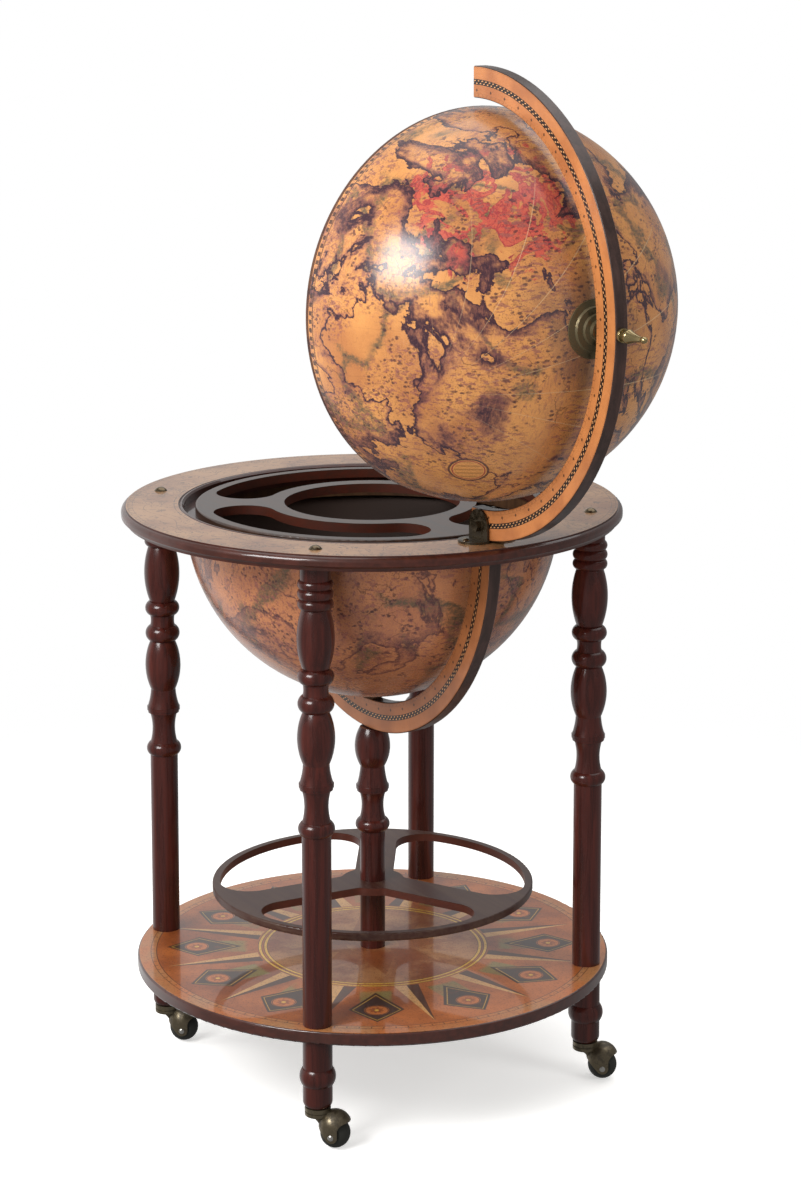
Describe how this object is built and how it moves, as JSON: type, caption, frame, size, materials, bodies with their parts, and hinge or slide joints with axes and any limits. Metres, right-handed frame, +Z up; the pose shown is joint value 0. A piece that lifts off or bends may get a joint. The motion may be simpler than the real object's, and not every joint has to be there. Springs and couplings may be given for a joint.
{
  "type": "floor globe bar",
  "caption": "Globe-shaped drinks cabinet on turned legs and casters, with a hinged upper half that opens on a tray, a lower shelf and a pierced bottle ring.",
  "frame": {"origin": "on the floor, under the middle of the globe and of the stand", "axes": "+Z up from the floor, +X from the middle of the globe towards the lid's hinge, lid open at rest"},
  "size_m": [0.8057, 0.57, 1.174],
  "materials": {
    "dark_wood": "dark mahogany stain under semi-gloss lacquer",
    "ring_top_wood": "parchment-coloured print under lacquer, dark moulded edge",
    "shelf_wood": "orange-brown print under gloss lacquer, dark edge",
    "tray_wood": "dark brown stain, semi-gloss",
    "meridian_wood": "orange-brown print on the faces, dark edges",
    "globe_skin": "printed paper on a moulded shell, satin varnish",
    "inner_wood": "plain stained wood",
    "bronze": "antique bronze, rubbed bright on the edges",
    "bright_brass": "polished",
    "steel": "zinc plated",
    "wheel_plastic": "black moulded"
  },
  "bodies": {
    "stand": {"lower_shelf": "shelf_wood", "leg_post_front": "dark_wood", "leg_post_right": "dark_wood", "leg_post_rear": "dark_wood", "leg_post_left": "dark_wood", "leg_foot_front": "dark_wood", "leg_foot_right": "dark_wood", "leg_foot_rear": "dark_wood", "leg_foot_left": "dark_wood", "leg_studs": "steel", "ring_bolts": "bronze", "caster_sockets": "steel", "table_ring": "ring_top_wood", "serving_tray": "tray_wood", "centre_column": "dark_wood", "column_base": "dark_wood", "column_rod": "steel", "column_nut": "steel", "column_dowel": "inner_wood", "bottle_ring": "tray_wood", "globe_bowl": "globe_skin", "bowl_hoop": "inner_wood", "hoop_screws": "steel", "bowl_floor": "inner_wood", "lower_meridian": "meridian_wood", "meridian_dowels": "inner_wood", "meridian_spacer": "inner_wood", "bowl_screw": "steel", "hinge_bracket_near": "bronze", "hinge_bracket_far": "bronze", "bracket_screws": "bronze", "hinge_bolt": "bronze", "hinge_nut": "bronze"},
    "lid_arm": {"upper_meridian": "meridian_wood", "pole_pin": "steel", "pole_nut": "steel", "pole_finial": "bright_brass"},
    "lid": {"globe_lid": "globe_skin", "pole_block": "inner_wood", "pole_boss": "bronze"},
    "caster_front": {"caster_hood_front": "bronze", "caster_stem_front": "steel", "caster_axle_front": "bright_brass"},
    "wheel_front": {"caster_wheel_front": "wheel_plastic"},
    "caster_right": {"caster_hood_right": "bronze", "caster_stem_right": "steel", "caster_axle_right": "bright_brass"},
    "wheel_right": {"caster_wheel_right": "wheel_plastic"},
    "caster_rear": {"caster_hood_rear": "bronze", "caster_stem_rear": "steel", "caster_axle_rear": "bright_brass"},
    "wheel_rear": {"caster_wheel_rear": "wheel_plastic"},
    "caster_left": {"caster_hood_left": "bronze", "caster_stem_left": "steel", "caster_axle_left": "bright_brass"},
    "wheel_left": {"caster_wheel_left": "wheel_plastic"}
  },
  "joints": [
    {"name": "lid_hinge", "type": "hinge", "parent": "stand", "child": "lid_arm", "pos_m": [0.237, 0, 0.684], "axis": [0, 1, 0], "range_deg": [-90, 0]},
    {"name": "lid_spin", "type": "hinge", "parent": "lid_arm", "child": "lid", "pos_m": [0.426, 0, 0.921], "axis": [1, 0, 0], "continuous": true},
    {"name": "caster_front_swivel", "type": "hinge", "parent": "stand", "child": "caster_front", "pos_m": [0.17819, -0.17819, 0.045], "axis": [0, 0, 1], "continuous": true},
    {"name": "wheel_front_spin", "type": "hinge", "parent": "caster_front", "child": "wheel_front", "pos_m": [0.19305, -0.16481, 0.0166], "axis": [-0.6691, 0.7431, 0], "continuous": true},
    {"name": "caster_right_swivel", "type": "hinge", "parent": "stand", "child": "caster_right", "pos_m": [0.17819, 0.17819, 0.045], "axis": [0, 0, 1], "continuous": true},
    {"name": "wheel_right_spin", "type": "hinge", "parent": "caster_right", "child": "wheel_right", "pos_m": [0.18966, 0.19457, 0.0166], "axis": [-0.8192, 0.5736, 0], "continuous": true},
    {"name": "caster_rear_swivel", "type": "hinge", "parent": "stand", "child": "caster_rear", "pos_m": [-0.17819, 0.17819, 0.045], "axis": [0, 0, 1], "continuous": true},
    {"name": "wheel_rear_spin", "type": "hinge", "parent": "caster_rear", "child": "wheel_rear", "pos_m": [-0.16481, 0.19305, 0.0166], "axis": [-0.7431, 0.6691, 0], "continuous": true},
    {"name": "caster_left_swivel", "type": "hinge", "parent": "stand", "child": "caster_left", "pos_m": [-0.17819, -0.17819, 0.045], "axis": [0, 0, 1], "continuous": true},
    {"name": "wheel_left_spin", "type": "hinge", "parent": "caster_left", "child": "wheel_left", "pos_m": [-0.16588, -0.16243, 0.0166], "axis": [-0.788, 0.6157, 0], "continuous": true}
  ]
}
